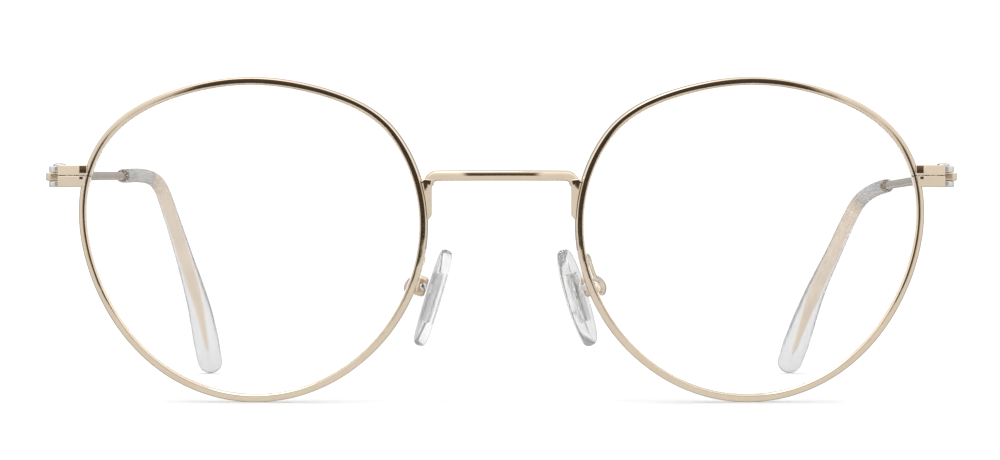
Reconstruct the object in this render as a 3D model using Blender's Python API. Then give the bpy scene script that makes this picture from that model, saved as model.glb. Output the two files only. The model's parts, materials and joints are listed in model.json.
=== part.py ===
"""Thin round metal eyeglasses: 31 separate pieces, +Z up, front towards -Y, lengths below in millimetres."""

import math

import bmesh
import bpy
import numpy as np
from mathutils import Matrix, Vector

MM = 0.001
GAP = 0.04  # between pieces that are soldered or screwed together
RUN = 0.05  # running clearance of pins and knuckles
MIDDLE = Vector((0, 64.749, 0))  # middle of the overall depth; the world origin is on the floor below it

# ---- front ----------------------------------------------------------------------------------------
LENS_X = 36.2  # lens centre from the middle of the bridge
WRAP = math.radians(5.0)  # each rim turns back towards the temple
TILT = math.radians(4.0)  # the lower rim stands nearer the face
BASE_R = 130.0  # sphere that lenses and rims are curved to
RIM_R = 23.70  # lower half of the outline, outer edge of the wire
NASAL_BULGE = (35.7, 2.70, 54.1, 26.7)  # angle, height, width below, width above
TEMPORAL_BULGE = (149.9, 3.30, 30.6, 38.1)
RIM_SPLIT = (158.65, 0.28)  # angle of the cut in the rim and half its width, degrees
RIM_STEPS = 108
RIM_SECTION = (  # outward from the outer edge, back from the middle of the wire; flat front, eased edges
    (0.00, -0.62), (-0.07, -0.84), (-0.28, -1.00), (-0.58, -1.04), (-0.88, -1.03), (-1.08, -0.89),
    (-1.15, -0.76), (-1.15, -0.38), (-0.65, 0.00), (-1.15, 0.38), (-1.15, 0.75), (-1.00, 0.95),
    (-0.15, 0.95), (0.00, 0.75),
)
LENS_THICK = 1.6
LENS_EDGE = -1.25  # edge of the lens, from the outer edge of the rim
LENS_BEVEL = -0.74  # point of its bevel, inside the groove
LENS_STEPS = 80

# ---- bridge ---------------------------------------------------------------------------------------
BRIDGE_Z = 33.04
BRIDGE_Y = -2.30  # centre line at the turned-down ends
BRIDGE_BOW = 30.0  # radius of the bar in plan, middle forward
BRIDGE_SIZE = (1.62, 1.50)  # depth, height
BRIDGE_BEND = 1.30
BRIDGE_END = 10.62  # centre line of the turned-down ends
LEG_OUTLINE = (
    (9.92, 32.45), (10.02, 31.90), (10.16, 31.20), (10.16, 27.50), (10.42, 26.70), (10.85, 26.45),
    (11.50, 27.00), (12.20, 31.90), (11.20, 32.60),
)
LEG_Y = (-3.05, -1.35)
LEG_MIDDLE = 29.5  # height about which the legs lean with the rims

# ---- lug blocks, hinge ----------------------------------------------------------------------------
SPLIT_Z = 33.15
LUG_TOP = 34.70
LUG_BOTTOM = 31.52
LUG_X = (60.55, 65.05)
LUG_Y = (0.75, 3.45)
LUG_BEND = (61.75, 0.80)  # from here outwards the front face turns back, by this much at the outer end
LUG_DRAFT = 0.12  # the lower block's front slopes back by this much at its bottom edge
HINGE_X = 65.15
HINGE_Y = 5.00
KNUCKLE_R = 1.50
KNUCKLE_Z = (31.56, 32.42, 32.50, 33.62, 33.70, 34.60)  # lower, temple's and upper knuckle
PIN_R = 0.48
CLOSING_X = 62.60
CLOSING_Y = 2.25

EYE_OUTLINE = ((1.40, -1.35), (1.90, -0.90), (1.90, 1.60), (1.53, 3.20), (0.17, 3.20), (-0.20, 1.20))

# ---- temples --------------------------------------------------------------------------------------
WIRE_R = 0.68
TEMPLE_PATHS = {  # away from the middle, back, up; the two sides are bent slightly differently by hand
    -1: ((66.00, 6.7, 33.06), (65.70, 22, 33.4), (64.70, 48, 34.2), (63.05, 72, 34.8), (61.85, 86, 35.2),
         (60.70, 95, 34.95), (59.70, 100, 33.6), (58.80, 104.5, 30.3), (56.80, 114, 21.5),
         (54.90, 123.5, 12.1), (53.75, 132.3, 2.29)),
    1: ((66.00, 6.7, 33.06), (65.80, 22, 33.2), (65.25, 48, 33.3), (64.40, 72, 33.2), (63.25, 86, 32.5),
        (62.20, 95.5, 31.0), (61.10, 100.8, 28.3), (59.00, 108.5, 22.2), (56.20, 119, 13.9),
        (53.30, 132.3, 2.27)),
}
MOUTH_Y = 72.0
CORE_TAPER = (0.74, 0.945)  # of the sleeve's length: the core starts to thin, and ends
CORE_END_R = 0.22
TIP_RADII = (
    (0, 1.25), (0.43, 1.30), (0.54, 1.40), (0.65, 1.58), (0.74, 1.83), (0.84, 2.15), (0.93, 2.35), (1, 2.25),
)
TIP_FLAT = 0.92  # height of the section over its width

# ---- nose pads ------------------------------------------------------------------------------------
PAD_CENTRE = {-1: (10.17, 9.0, 15.2), 1: (11.20, 9.0, 15.2)}
PAD_LEAN = math.radians(16.8)  # tops lean together
PAD_SPLAY = {-1: math.radians(8.0), 1: math.radians(17.5)}
PAD_SIZE = (7.4, 14.9, 1.85)  # width, length, thickness
PAD_LAYERS = ((-0.5, 0.74), (-0.38, 0.90), (-0.12, 0.99), (0.12, 1.0), (0.36, 0.93), (0.5, 0.80))
INSERT_SIZE = (3.4, 7.4, 0.5)
TONGUE = (0.90, 1.40)  # across and along the pad
BOX_SIZE = (1.75, 1.9, 3.0)  # away from the pad, along the screw, up the pad
BOX_WALL = 0.42
BOX_UP = 1.15  # the box sits above the middle of the pad
BOX_GAP = 0.45  # between pad and box, so that the pad can rock
PAD_PIN_R = 0.30
ARM_R = 0.44
ARM_SHIFT = {-1: -1.1, 1: 0.0}
ARM_ROOT = ((11.80, -1.6, 21.5), (12.00, -0.4, 21.6))
ARM_LOOP = ((12.65, 0.9, 21.2), (13.05, 1.9, 19.9), (13.65, 3.3, 18.4), (14.50, 4.6, 17.85),
            (15.10, 5.9, 16.95), (14.95, 7.3, 16.05))


def clear_scene():
    for ob in list(bpy.data.objects):
        bpy.data.objects.remove(ob, do_unlink=True)


def material(name, colour, metallic, roughness, transmission=0.0):
    mat = bpy.data.materials.new(name)
    mat.use_nodes = True
    bsdf = mat.node_tree.nodes["Principled BSDF"]
    bsdf.inputs["Base Color"].default_value = (*colour, 1.0)
    bsdf.inputs["Metallic"].default_value = metallic
    bsdf.inputs["Roughness"].default_value = roughness
    bsdf.inputs["Transmission Weight"].default_value = transmission
    return mat


def make(name, skin, mat_maker, origin=(0, 0, 0), smooth=40):
    """One solid from (vertices in mm, faces), with its object origin at the given point."""
    verts, faces = skin
    mesh = bpy.data.meshes.new(name)
    shift = Vector(origin)
    mesh.from_pydata([(Vector(v) - shift) * MM for v in verts], [], faces)
    bm = bmesh.new()
    bm.from_mesh(mesh)
    bmesh.ops.recalc_face_normals(bm, faces=bm.faces)
    bm.to_mesh(mesh)
    bm.free()
    ob = bpy.data.objects.new(name, mesh)
    ob.location = (shift - MIDDLE) * MM
    bpy.context.scene.collection.objects.link(ob)
    if mat_maker:
        mesh.materials.append(material(*mat_maker(name)))
    shade(ob, smooth)
    return ob


def shade(ob, degrees):
    for poly in ob.data.polygons:
        poly.use_smooth = True
    ob.data.set_sharp_from_angle(angle=math.radians(degrees))


def combine(ob, tool, operation="DIFFERENCE", smooth=40):
    """Cut the tool out of ob, or join it on, and drop the tool."""
    mod = ob.modifiers.new("combine", "BOOLEAN")
    mod.operation = operation
    mod.solver = "EXACT"
    mod.object = tool
    bpy.context.view_layer.update()
    graph = bpy.context.evaluated_depsgraph_get()
    mesh = bpy.data.meshes.new_from_object(ob.evaluated_get(graph))
    ob.modifiers.clear()
    mats = [m for m in ob.data.materials]
    ob.data = mesh
    mesh.materials.clear()
    for mat in mats:
        mesh.materials.append(mat)
    bpy.data.objects.remove(tool, do_unlink=True)
    shade(ob, smooth)
    return ob


def chamfer(ob, width, segments=1, limit=35):
    """Break the sharp edges of a plain block before it is cut."""
    bm = bmesh.new()
    bm.from_mesh(ob.data)
    edges = [e for e in bm.edges if len(e.link_faces) == 2 and e.calc_face_angle() > math.radians(limit)]
    bmesh.ops.bevel(bm, geom=edges, offset=width * MM, offset_type="OFFSET", segments=segments,
                    profile=0.5, affect="EDGES", clamp_overlap=True)
    bm.to_mesh(ob.data)
    bm.free()
    shade(ob, 30)
    return ob


# ---- skins ----------------------------------------------------------------------------------------
def loft(rings):
    """Skin equal rings of points, with a flat cap at both ends."""
    n = len(rings[0])
    count = len(rings)
    verts = [tuple(p) for ring in rings for p in ring]
    faces = []
    for i in range(count - 1):
        a = i * n
        b = a + n
        for j in range(n):
            k = (j + 1) % n
            faces.append((a + j, a + k, b + k, b + j))
    faces.append(tuple(range(n)))
    faces.append(tuple(range((count - 1) * n, count * n)))
    return verts, faces


def prism(outline, low, high, axis="Z"):
    """Outline drawn in XY and raised along Z, or drawn in XZ and pushed along Y."""
    if axis == "Z":
        return loft([[(x, y, h) for x, y in outline] for h in (low, high)])
    return loft([[(x, h, z) for x, z in outline] for h in (low, high)])


def box(low, high):
    outline = [(low[0], low[1]), (high[0], low[1]), (high[0], high[1]), (low[0], high[1])]
    return prism(outline, low[2], high[2])


def lathe(base, direction, profile, steps=16):
    """Turned solid: profile is (distance along, radius) from the base point."""
    way = Vector(direction).normalized()
    side = way.orthogonal().normalized()
    other = way.cross(side)
    rings = []
    for along, radius in profile:
        centre = Vector(base) + way * along
        angles = [2 * math.pi * i / steps for i in range(steps)]
        rings.append([centre + (side * math.cos(a) + other * math.sin(a)) * radius for a in angles])
    return loft(rings)


def rod(base, direction, low, high, radius, steps=16):
    return lathe(base, direction, ((low, radius), (high, radius)), steps)


def arc(cx, cy, radius, start, end, steps):
    turn = [math.radians(start + (end - start) * i / steps) for i in range(steps + 1)]
    return [(cx + radius * math.cos(t), cy + radius * math.sin(t)) for t in turn]


def curve(points, steps):
    """Smooth line through the points, Catmull-Rom, in even steps."""
    p = [Vector(q) for q in points]
    p = [p[0] * 2 - p[1]] + p + [p[-1] * 2 - p[-2]]
    fine = []
    for i in range(1, len(p) - 2):
        for k in range(24):
            t = k / 24
            a, b, c, d = p[i - 1 : i + 3]
            fine.append(0.5 * (2 * b + (c - a) * t + (2 * a - 5 * b + 4 * c - d) * t**2
                               + (3 * b - a - 3 * c + d) * t**3))
    fine.append(p[-2])
    fine = np.array([tuple(q) for q in fine])
    reach = np.concatenate([[0], np.cumsum(np.linalg.norm(np.diff(fine, axis=0), axis=1))])
    even = np.linspace(0, reach[-1], steps + 1)
    return [Vector(np.interp(even, reach, fine[:, k])[i] for k in range(3)) for i in range(steps + 1)]


def frames(path, side, carried=True):
    """Tangent and two cross directions at every point, carried along or facing the same side all the way."""
    out = []
    across = Vector(side)
    for i in range(len(path)):
        way = (path[min(i + 1, len(path) - 1)] - path[max(i - 1, 0)]).normalized()
        start = across if carried else Vector(side)
        across = (start - way * start.dot(way)).normalized()
        out.append((way, across, way.cross(across)))
    return out


def tube(path, side, radii, flat=1.0, sides=10):
    """Round or oval tube along a path; radii has one radius per point."""
    rings = []
    for point, (_, across, other), radius in zip(path, frames(path, side), radii):
        ring = []
        for j in range(sides):
            a = 2 * math.pi * (j + 0.5) / sides
            ring.append(point + across * (radius * math.cos(a)) + other * (radius * flat * math.sin(a)))
        rings.append(ring)
    return rings


def mix(table, t):
    return float(np.interp(t, [row[0] for row in table], [row[1] for row in table]))


# ---- the rim's shape ------------------------------------------------------------------------------
def bulge(angle, spec):
    centre, height, before, after = spec
    away = (angle - centre + 180) % 360 - 180
    return height * math.exp(-((away / (before if away < 0 else after)) ** 2))


def rim_radius(angle):
    return RIM_R + bulge(angle, NASAL_BULGE) + bulge(angle, TEMPORAL_BULGE)


def sag(radius):
    """How far the base sphere falls back at this distance from the lens centre."""
    return BASE_R - math.sqrt(BASE_R**2 - radius**2)


def outline_point(angle, offset):
    """Point on the outline in the rim's own plane, moved out along the normal; 0 nasal, 90 top."""
    here = []
    for a in (angle - 0.5, angle, angle + 0.5):
        r = rim_radius(a)
        here.append((r * math.cos(math.radians(a)), r * math.sin(math.radians(a))))
    dx = here[2][0] - here[0][0]
    dz = here[2][1] - here[0][1]
    size = math.hypot(dx, dz)
    return here[1][0] + offset * dz / size, here[1][1] - offset * dx / size


def lens_matrix(side):
    turn = Matrix.Rotation(side * WRAP, 4, "Z") @ Matrix.Rotation(TILT, 4, "X")
    return Matrix.Translation((side * LENS_X, 0, LENS_Z)) @ turn


def rim_ring(side, angle, section):
    ring = []
    for offset, depth in section:
        a, h = outline_point(angle, offset)
        d = depth + sag(rim_radius(angle)) - sag(RIM_R)
        ring.append(lens_matrix(side) @ Vector((-side * a, d, h)))
    return ring


def rim_angles(steps):
    centre, half = RIM_SPLIT
    return [centre + half + (360 - 2 * half) * i / steps for i in range(steps + 1)]


def rim_cutter(side, start, end, grow, inward=1.15):
    """Plain ring segment a little fatter than the rim, to cut its seat in a neighbour."""
    section = ((grow, -1.04 - grow), (-inward - grow, -1.04 - grow), (-inward - grow, 0.95 + grow),
               (grow, 0.95 + grow))
    steps = 24
    rings = [rim_ring(side, start + (end - start) * i / steps, section) for i in range(steps + 1)]
    return make("cutter", loft(rings), None)


LENS_Z = 0.0
LENS_Z = -min(p.z for a in range(240, 300) for p in rim_ring(1, a, RIM_SECTION))


# ---- materials ------------------------------------------------------------------------------------
def gold(name):
    return name + "_gold", (0.72, 0.60, 0.47), 1.0, 0.18


def nickel(name):
    return name + "_nickel", (0.66, 0.65, 0.64), 1.0, 0.25


def clear(name):
    return name + "_clear", (0.96, 0.97, 0.97), 0.0, 0.03, 1.0


def milky(name):
    return name + "_milky", (0.90, 0.89, 0.87), 0.0, 0.25, 0.7


# ---- pieces ---------------------------------------------------------------------------------------
def rim(side, tag):
    make("rim_" + tag, loft([rim_ring(side, a, RIM_SECTION) for a in rim_angles(RIM_STEPS)]), gold)


def lens(side, tag):
    half = LENS_THICK / 2
    edge = 0.32
    rows = [(f, LENS_EDGE, -half) for f in (0.25, 0.5, 0.75)]
    rows += [(1, LENS_EDGE, -half), (1, LENS_EDGE, -edge), (1, LENS_BEVEL, 0), (1, LENS_EDGE, edge)]
    rows += [(1, LENS_EDGE, half)] + [(f, LENS_EDGE, half) for f in (0.75, 0.5, 0.25)]
    m = lens_matrix(side)
    rings = []
    for share, offset, depth in rows:
        ring = []
        for i in range(LENS_STEPS):
            angle = 360 * i / LENS_STEPS
            a, h = outline_point(angle, offset)
            a, h = a * share, h * share
            level = sag(rim_radius(angle)) if share == 1 else sag(math.hypot(a, h))
            ring.append(m @ Vector((-side * a, depth + level - sag(RIM_R), h)))
        rings.append(ring)
    verts, faces = loft(rings)
    faces = faces[:-2]
    n = LENS_STEPS
    for ring, depth in ((0, -half), (len(rows) - 1, half)):
        hub = len(verts)
        verts.append(tuple(m @ Vector((0, depth - sag(RIM_R), 0))))
        faces += [(hub, ring * n + j, ring * n + (j + 1) % n) for j in range(n)]
    make("lens_" + tag, (verts, faces), clear, smooth=25)


def bow(x):
    """The bar arches forward between its ends."""
    return math.sqrt(BRIDGE_BOW**2 - BRIDGE_END**2) - math.sqrt(BRIDGE_BOW**2 - x**2)


def bridge():
    """Bar turned down at both ends, with flat legs soldered along the rims."""
    end, bend = BRIDGE_END, BRIDGE_BEND
    corner = arc(end - bend, BRIDGE_Z - bend, bend, 0, 90, 5)
    half_line = [(end, BRIDGE_Z - bend - 0.15)] + corner + [(x, BRIDGE_Z) for x in (8.0, 6.0, 4.0, 2.0, 0.0)]
    line = half_line + [(-x, z) for x, z in reversed(half_line[:-1])]
    path = [Vector((x, BRIDGE_Y + bow(x), z)) for x, z in line]
    deep, tall = BRIDGE_SIZE
    rings = []
    for point, (_, across, other) in zip(path, frames(path, (0, -1, 0), False)):
        ring = []
        for j in range(16):
            a = 2 * math.pi * (j + 0.5) / 16
            c, s = math.cos(a), math.sin(a)
            u = math.copysign(abs(c) ** 0.62, c) * deep / 2
            v = math.copysign(abs(s) ** 0.62, s) * tall / 2
            ring.append(point + across * u + other * v)
        rings.append(ring)
    bar = make("bridge", loft(rings), gold)
    for side in (-1, 1):
        verts, faces = prism([(side * x, z) for x, z in LEG_OUTLINE], *LEG_Y, axis="Y")
        verts = [(x, y - math.tan(TILT) * (z - LEG_MIDDLE), z) for x, y, z in verts]
        leg = make("leg", (verts, faces), None)
        chamfer(leg, 0.22, 2)
        combine(bar, leg, "UNION")
        combine(bar, rim_cutter(side, 2, 38, GAP))


def lug_block(side, tag, upper):
    """Half of the block that closes the rim; the lower one is rounded towards the lens."""
    inner, outer = LUG_X
    near, far = LUG_Y
    bend, turned = LUG_BEND
    if upper:
        low, high = SPLIT_Z + 0.05, LUG_TOP
        outline = [(inner, near)]
    else:
        low, high = LUG_BOTTOM, SPLIT_Z - 0.05
        inner += 0.25
        outline = [(inner, near + 0.35), (inner + 0.35, near)]
    outline += [(bend, near), (bend + 0.8, near + turned * 0.15), (outer, near + turned)]
    outline += [(outer, far), (inner, far)]
    outline = [(side * x, y) for x, y in outline]
    name = ("lug_upper_" if upper else "lug_lower_") + tag
    verts, faces = prism(outline, low, high)
    if not upper:
        steep = LUG_DRAFT / (high - low) / (far - near)
        verts = [(x, y + steep * (high - z) * (far - y), z) for x, y, z in verts]
    block = make(name, (verts, faces), gold)
    chamfer(block, 0.14, 2)
    combine(block, rim_cutter(side, 140, 176, GAP))
    screw = (side * CLOSING_X, CLOSING_Y, 0)
    if upper:
        combine(block, make("hole", rod(screw, (0, 0, 1), low - 1, high - 0.45, PIN_R - 0.04), None))
    else:
        combine(block, make("hole", rod(screw, (0, 0, 1), low - 1, high + 1, PIN_R + RUN), None))
        combine(block, make("seat", rod(screw, (0, 0, 1), low - 1, low + 0.50, 0.86), None))


def knuckle_outline(side, near, reach):
    """Plan of a hinge leaf: a barrel around the pin with a straight web towards the block."""
    turn = arc(HINGE_X, HINGE_Y, KNUCKLE_R, 0, 180, 10)
    outline = [(HINGE_X - KNUCKLE_R, near), (HINGE_X + reach, near)] + turn
    return [(side * x, y) for x, y in outline]


def knuckle(side, tag, upper):
    low, high = KNUCKLE_Z[4:6] if upper else KNUCKLE_Z[0:2]
    name = ("knuckle_upper_" if upper else "knuckle_lower_") + tag
    leaf = make(name, prism(knuckle_outline(side, LUG_Y[1] + GAP, KNUCKLE_R), low, high), nickel)
    chamfer(leaf, 0.12, 2)
    hole = rod((side * HINGE_X, HINGE_Y, 0), (0, 0, 1), low - 1, high + 1, PIN_R + RUN)
    combine(leaf, make("hole", hole, None))


def slotted_screw(name, base, direction, profile, slot, steps=16):
    """Turned screw with a straight slot in its head; slot is (floor, width, blade direction)."""
    screw = make(name, lathe(base, direction, profile, steps), nickel, smooth=35)
    floor, width, blade = slot
    way = Vector(direction).normalized()
    along = Vector(blade).normalized() * 2
    across = way.cross(along).normalized() * (width / 2)
    corners = [along + across, along - across, -along - across, -along + across]
    rings = [[Vector(base) + way * h + c for c in corners] for h in (floor, floor + 2)]
    return combine(screw, make("slot", loft(rings), None), smooth=35)


def hinge_screw(side, tag):
    top = KNUCKLE_Z[5]
    profile = ((KNUCKLE_Z[0] + 0.03, 0.30), (KNUCKLE_Z[0] + 0.20, PIN_R), (top + 0.02, PIN_R),
               (top + 0.02, 0.94), (top + 0.24, 0.94), (top + 0.40, 0.78), (top + 0.46, 0.42))
    blade = (math.cos(0.5), math.sin(0.5), 0)
    slotted_screw("hinge_screw_" + tag, (side * HINGE_X, HINGE_Y, 0), (0, 0, 1), profile,
                  (top + 0.20, 0.24, blade))


def closing_screw(side, tag):
    """Countersunk into the underside of the lower block, threaded into the upper one."""
    low = LUG_BOTTOM
    profile = ((-low - 0.04, 0.62), (-low - 0.12, 0.80), (-low - 0.46, 0.80), (-low - 0.46, PIN_R),
               (-SPLIT_Z, PIN_R), (-SPLIT_Z - 0.02, PIN_R - 0.07), (-LUG_TOP + 0.60, PIN_R - 0.07),
               (-LUG_TOP + 0.50, 0.30))
    slotted_screw("closing_screw_" + tag, (side * CLOSING_X, CLOSING_Y, 0), (0, 0, -1),
                  tuple(reversed(profile)), (-low - 0.28, 0.24, (1, 0.3, 0)))


def temple_path(side):
    return curve([(side * x, y, z) for x, y, z in TEMPLE_PATHS[side]], 64)


def sleeve_share(path):
    """Share of the sleeve's length at every point of the path; negative before the mouth."""
    reach = [0.0]
    for a, b in zip(path, path[1:]):
        reach.append(reach[-1] + (b - a).length)
    start = min(range(len(path)), key=lambda i: abs(path[i].y - MOUTH_Y))
    return [(r - reach[start]) / (reach[-1] - reach[start]) for r in reach], start


def core_radius(share):
    a, b = CORE_TAPER
    return mix(((0, WIRE_R), (a, WIRE_R), (b, CORE_END_R)), share)


def temple(side, tag):
    """Middle knuckle, wire and thinned core in one piece, turning about the hinge screw."""
    pin = (side * HINGE_X, HINGE_Y, 0)
    path = temple_path(side)
    shares, _ = sleeve_share(path)
    kept = [i for i, s in enumerate(shares) if s <= CORE_TAPER[1]]
    rings = tube([path[i] for i in kept], (side, 0, 0), [core_radius(shares[i]) for i in kept])
    origin = (side * HINGE_X, HINGE_Y, (KNUCKLE_Z[2] + KNUCKLE_Z[3]) / 2)
    body = make("temple_" + tag, loft(rings), gold, origin)
    low, high = KNUCKLE_Z[2:4]
    turn = arc(HINGE_X, HINGE_Y, KNUCKLE_R, 150, 270, 7)
    outline = [(HINGE_X + x, HINGE_Y + y) for x, y in EYE_OUTLINE] + turn
    outline = [(side * x, y) for x, y in outline]
    eye = chamfer(make("eye", prism(outline, low, high), None), 0.12, 2)
    combine(body, eye, "UNION")
    combine(body, make("hole", rod(pin, (0, 0, 1), low - 1, high + 1, PIN_R + RUN), None))


def temple_tip(side, tag):
    """Sleeve with a blind bore that follows the core."""
    path = temple_path(side)
    shares, start = sleeve_share(path)
    outer_path = path[start:]
    outer_share = shares[start:]
    ends = frames(path, (side, 0, 0))[-1][0]
    radii = [mix(TIP_RADII, s) for s in outer_share]
    path_out = list(outer_path)
    for along, narrow in ((0.9, 0.93), (1.7, 0.74), (2.2, 0.45)):
        path_out.append(path[-1] + ends * along)
        radii.append(radii[len(outer_path) - 1] * narrow)
    outer = tube(path_out, (side, 0, 0), radii, TIP_FLAT, 14)
    inner_index = [i for i, s in enumerate(outer_share) if s <= CORE_TAPER[1] + 0.012]
    flare = (0.42, 0.18, 0.05)
    bore = []
    for i in inner_index:
        extra = flare[i] if i < len(flare) else 0.0
        bore.append(core_radius(outer_share[i]) + 0.05 + extra)
    inner = tube([outer_path[i] for i in inner_index], (side, 0, 0), bore, 1.0, 10)
    verts, faces = sleeve_skin(outer, inner)
    origin = (side * HINGE_X, HINGE_Y, (KNUCKLE_Z[2] + KNUCKLE_Z[3]) / 2)
    make("temple_tip_" + tag, (verts, faces), milky, origin, smooth=60)


def sleeve_skin(outer, inner):
    """Closed skin of a blind sleeve: outside, rounded end, mouth rim and bore."""
    verts, faces = loft(outer)
    mouth, end = faces[-2:]
    faces = faces[:-2] + [end]
    shift = len(verts)
    inner_verts, inner_faces = loft(inner)
    verts += inner_verts
    faces += [tuple(v + shift for v in face) for face in inner_faces[:-2]]
    faces.append(tuple(v + shift for v in inner_faces[-1]))
    n, m = len(outer[0]), len(inner[0])
    i = j = 0
    while i < n or j < m:
        if j >= m or (i < n and (i + 1) / n <= (j + 1) / m):
            faces.append((i % n, (i + 1) % n, shift + j % m))
            i += 1
        else:
            faces.append((i % n, shift + (j + 1) % m, shift + j % m))
            j += 1
    return verts, faces


# ---- nose pads ------------------------------------------------------------------------------------
def pad_matrix(side):
    """Pad frame: X across the pad (backwards), Y up its length, Z away from the nose."""
    splay = PAD_SPLAY[side]
    up = Vector((-side * math.sin(PAD_LEAN), 0, math.cos(PAD_LEAN)))
    across = Vector((side * math.sin(splay), math.cos(splay), 0))
    across = (across - up * across.dot(up)).normalized()
    away = across.cross(up) * side
    m = Matrix((across, up, away)).transposed().to_4x4()
    x, y, z = PAD_CENTRE[side]
    return Matrix.Translation((side * x, y, z)) @ m


def place(m, skin):
    return [tuple(m @ Vector(v)) for v in skin[0]], skin[1]


def screw_height():
    return PAD_SIZE[2] / 2 + BOX_GAP + 0.62


def pad_origin(side):
    return tuple(pad_matrix(side) @ Vector((0, BOX_UP, screw_height())))


def pad_outline(scale, inset=0.0):
    """Drop shape, a little wider below."""
    width, length = PAD_SIZE[0] / 2 - inset, PAD_SIZE[1] / 2 - inset
    points = []
    for i in range(28):
        a = 2 * math.pi * (i + 0.5) / 28
        s, c = math.sin(a), math.cos(a)
        y = length * math.copysign(abs(s) ** 0.92, s)
        x = width * math.copysign(abs(c) ** 0.85, c) * (1 - 0.05 * y / length)
        points.append((x * scale, y * scale))
    return points


def nose_pad(side, tag):
    m = pad_matrix(side)
    thick = PAD_SIZE[2]
    rings = []
    for level, scale in PAD_LAYERS:
        rings.append([(x, y, level * thick) for x, y in pad_outline(1, (1 - scale) * 3)])
    pad = make("nose_pad_" + tag, place(m, loft(rings)), clear, pad_origin(side), smooth=50)
    w, l, t = (s / 2 + 0.03 for s in INSERT_SIZE)
    pocket = make("pocket", place(m, box((-w, -l, -t), (w, l, t))), None)
    combine(pad, pocket, smooth=50)
    a, b = (s / 2 + 0.03 for s in TONGUE)
    slit = make("slit", place(m, box((-a, BOX_UP - b, 0.0), (a, BOX_UP + b, thick))), None)
    combine(pad, slit, smooth=50)


def pad_insert(side, tag):
    """Hard plate inside the pad with a round-ended tongue for the pad screw."""
    m = pad_matrix(side)
    w, l, t = (s / 2 for s in INSERT_SIZE)
    plate = make("pad_insert_" + tag, place(m, box((-w, -l, -t), (w, l, t))), clear, pad_origin(side))
    a, b = (s / 2 for s in TONGUE)
    high = screw_height()
    outline = [(BOX_UP + b, 0)] + arc(BOX_UP, high, b, 0, 180, 8) + [(BOX_UP - b, 0)]
    rings = [[(x, y, z) for y, z in outline] for x in (-a, a)]
    combine(plate, make("tongue", place(m, loft(rings)), None), "UNION")
    hole = rod((0, BOX_UP, high), (1, 0, 0), -2, 2, PAD_PIN_R + RUN, 12)
    combine(plate, make("hole", place(m, hole), None))


def pad_box(side, tag):
    """Small channel that takes the tongue, open towards the pad."""
    m = pad_matrix(side)
    deep, wide, tall = BOX_SIZE
    low = PAD_SIZE[2] / 2 + BOX_GAP
    half = (-wide / 2, BOX_UP - tall / 2, low), (wide / 2, BOX_UP + tall / 2, low + deep)
    shell = chamfer(make("pad_box_" + tag, place(m, box(*half)), gold), 0.16, 2)
    a, b = TONGUE[0] / 2 + 0.05, TONGUE[1] / 2 + 0.22
    room = box((-a, BOX_UP - b, low - 1), (a, BOX_UP + b, low + deep - BOX_WALL + 0.1))
    combine(shell, make("room", place(m, room), None))
    hole = rod((0, BOX_UP, screw_height()), (1, 0, 0), -3, 3, PAD_PIN_R + RUN, 12)
    combine(shell, make("hole", place(m, hole), None))


def pad_screw(side, tag):
    m = pad_matrix(side)
    wide = BOX_SIZE[1] / 2
    base = m @ Vector((0, BOX_UP, screw_height()))
    front = m.to_3x3() @ Vector((-1, 0, 0))
    profile = ((-wide, PAD_PIN_R - 0.08), (-wide + 0.15, PAD_PIN_R), (wide + 0.02, PAD_PIN_R),
               (wide + 0.02, 0.55), (wide + 0.16, 0.55), (wide + 0.30, 0.40))
    blade = m.to_3x3() @ Vector((0, 0.8, 0.6))
    slotted_screw("pad_screw_" + tag, base, front, profile, (wide + 0.14, 0.16, blade), 12)


def pad_arm(side, tag):
    """Wire from the back of the rim, down and out in a loop, to the outer face of the box."""
    m = pad_matrix(side)
    back = m @ Vector((0, BOX_UP - 0.2, PAD_SIZE[2] / 2 + BOX_GAP + BOX_SIZE[0] + GAP))
    shift = ARM_SHIFT[side]
    path = [Vector((side * x, y, z)) for x, y, z in ARM_ROOT]
    path += [Vector((side * (x + shift), y, z)) for x, y, z in ARM_LOOP]
    path += [back + Vector((side * 0.45, -0.30, -0.10)), back]
    line = curve(path, 30)
    arm = make("pad_arm_" + tag, loft(tube(line, (side, 0, 0), [ARM_R] * len(line))), gold, smooth=50)
    combine(arm, rim_cutter(side, -20, 20, GAP, 3.5), smooth=50)
    wide, tall, low = BOX_SIZE[1] / 2 + GAP, BOX_SIZE[2] / 2 + GAP, PAD_SIZE[2] / 2 + BOX_GAP
    block = box((-wide, BOX_UP - tall, low - 1), (wide, BOX_UP + tall, low + BOX_SIZE[0] + GAP))
    combine(arm, make("seat", place(m, block), None), smooth=50)


def build():
    clear_scene()
    bridge()
    for side, tag in ((-1, "left"), (1, "right")):
        rim(side, tag)
        lens(side, tag)
        for upper in (True, False):
            lug_block(side, tag, upper)
            knuckle(side, tag, upper)
        closing_screw(side, tag)
        hinge_screw(side, tag)
        temple(side, tag)
        temple_tip(side, tag)
        nose_pad(side, tag)
        pad_insert(side, tag)
        pad_box(side, tag)
        pad_screw(side, tag)
        pad_arm(side, tag)


build()
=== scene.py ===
"""Looks of thin round metal eyeglasses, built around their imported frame. Lengths are in millimetres."""

import json
import math

import bmesh
import bpy
import numpy as np
from mathutils import Matrix, Vector


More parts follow.
